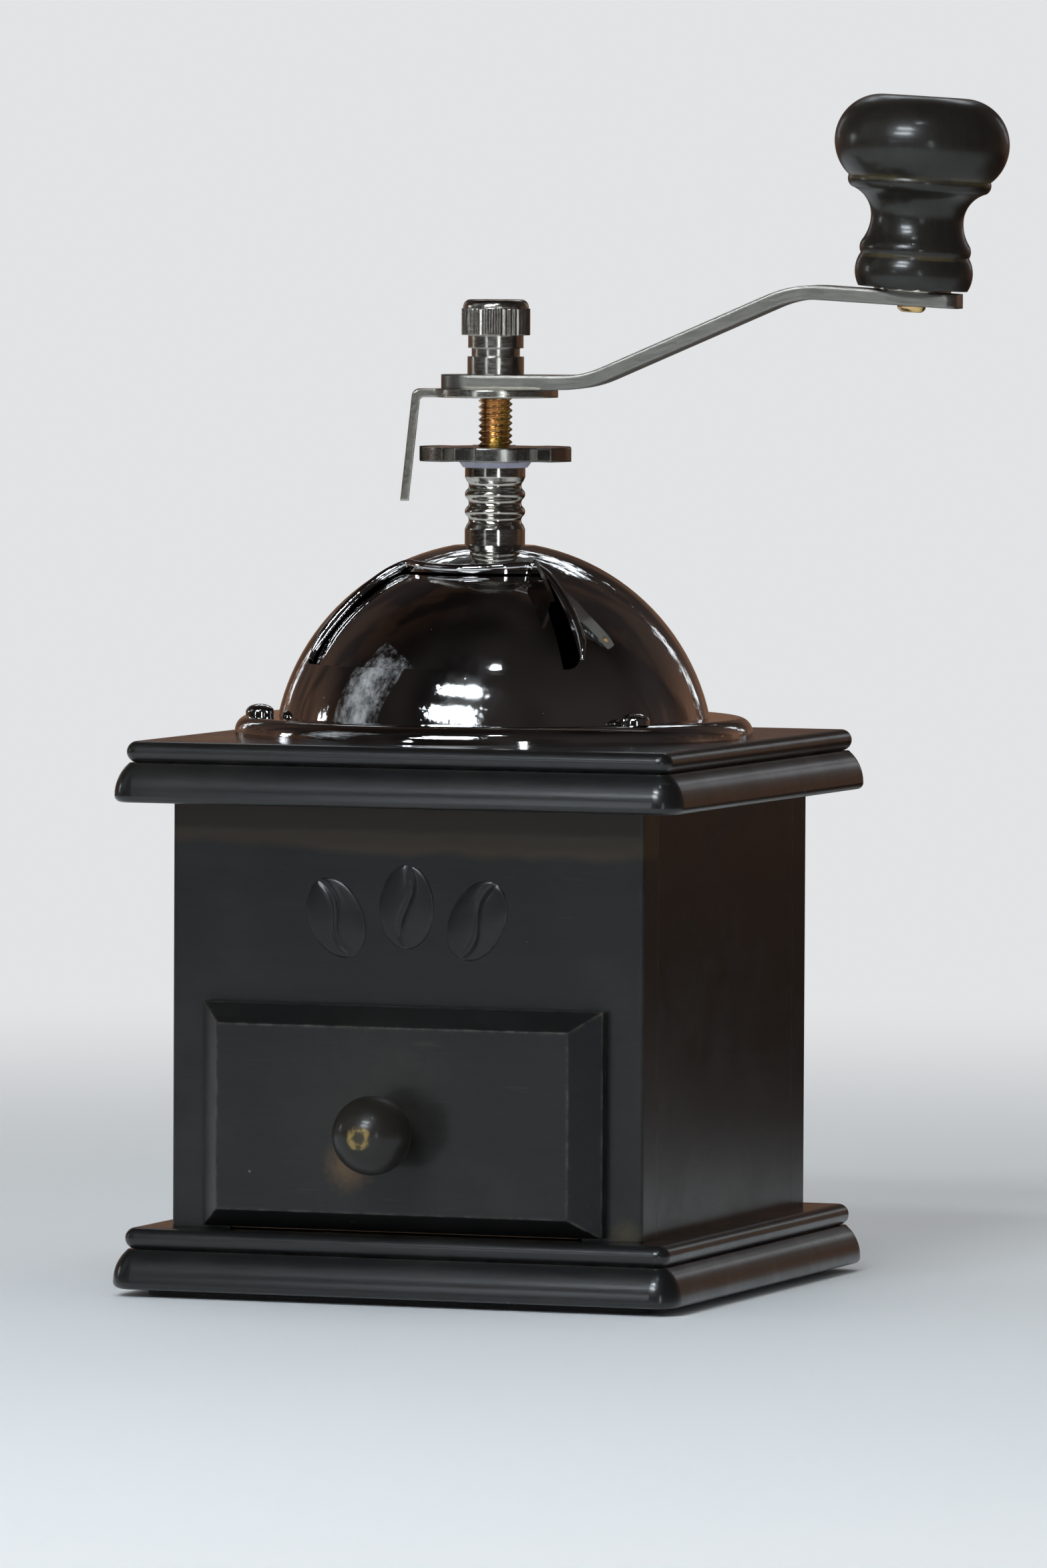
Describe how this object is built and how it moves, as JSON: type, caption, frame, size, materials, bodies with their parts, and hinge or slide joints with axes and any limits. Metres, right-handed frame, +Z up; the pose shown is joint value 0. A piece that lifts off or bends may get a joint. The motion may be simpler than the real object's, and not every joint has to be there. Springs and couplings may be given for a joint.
{
  "type": "hand crank coffee grinder",
  "caption": "Wooden box coffee mill with moulded plates, a domed hopper with a turning door, a bent crank with a turned knob, a notched grind wheel and a drawer.",
  "frame": {"origin": "on the shaft axis at the underside of the felt, where the mill rests", "axes": "+Z up along the shaft, -Y out of the drawer front, +X to the right of the front"},
  "size_m": [0.1469, 0.1235, 0.2172],
  "materials": {
    "felt": "matt felt",
    "black_wood": "satin black stain",
    "plain_wood": "unfinished",
    "chrome": "mirror plated",
    "nickel": "satin nickel plated",
    "zinc": "yellow zinc plated",
    "nylon": "satin",
    "steel": "zinc plated",
    "cast": "as cast"
  },
  "bodies": {
    "case": {"base_felt": "felt", "base_plate": "black_wood", "base_screws": "steel", "front_panel": "black_wood", "back_panel": "black_wood", "left_panel": "black_wood", "right_panel": "black_wood", "left_drawer_guide": "plain_wood", "right_drawer_guide": "plain_wood", "top_plate": "black_wood", "burr_housing": "cast", "housing_screws": "steel", "outer_burr": "cast", "bridge": "steel", "bridge_screws": "steel", "dome_shell": "chrome", "dome_screws": "chrome", "bearing_sleeve": "nickel", "sleeve_washer": "steel", "sleeve_lock_nut": "steel"},
    "drawer": {"drawer_front": "black_wood", "drawer_left_side": "plain_wood", "drawer_right_side": "plain_wood", "drawer_back": "plain_wood", "drawer_bottom": "plain_wood", "drawer_pull": "black_wood", "drawer_pull_screw": "steel"},
    "door": {"hopper_door": "chrome"},
    "spinner": {"thrust_washer": "nylon"},
    "wheel": {"adjusting_wheel": "nickel"},
    "rotor": {"shaft": "zinc", "inner_burr": "cast", "burr_washer": "steel", "burr_nut": "steel", "burr_spring": "steel", "lock_plate": "nickel", "crank_arm": "nickel", "cap_nut": "nickel", "knob_washer": "nickel", "knob_spindle": "zinc"},
    "knob": {"crank_knob": "black_wood", "knob_plug": "black_wood"}
  },
  "joints": [
    {"name": "drawer_slide", "type": "slide", "parent": "case", "child": "drawer", "axis": [0, -1, 0], "range_m": [0, 0.066]},
    {"name": "door_turn", "type": "hinge", "parent": "case", "child": "door", "pos_m": [0, 0, 0.133], "axis": [0, 0, 1], "range_deg": [-88, 3]},
    {"name": "crank_turn", "type": "hinge", "parent": "case", "child": "spinner", "pos_m": [0, 0, 0.1495], "axis": [0, 0, 1], "continuous": true},
    {"name": "wheel_turn", "type": "hinge", "parent": "spinner", "child": "wheel", "pos_m": [0, 0, 0.1514], "axis": [0, 0, 1], "range_deg": [-181, 361]},
    {"name": "grind_lift", "type": "slide", "parent": "spinner", "child": "rotor", "axis": [0, 0, 1], "range_m": [-0.00115, 0.00057], "deforming": ["burr_spring"]},
    {"name": "knob_spin", "type": "hinge", "parent": "rotor", "child": "knob", "pos_m": [0.07534, 0.01328, 0.18155], "axis": [0.0584, 0.0103, 0.9982], "continuous": true}
  ],
  "couplings": [
    {"joint": "wheel_turn", "follows": "grind_lift", "rad_per_m": -5463.6}
  ]
}
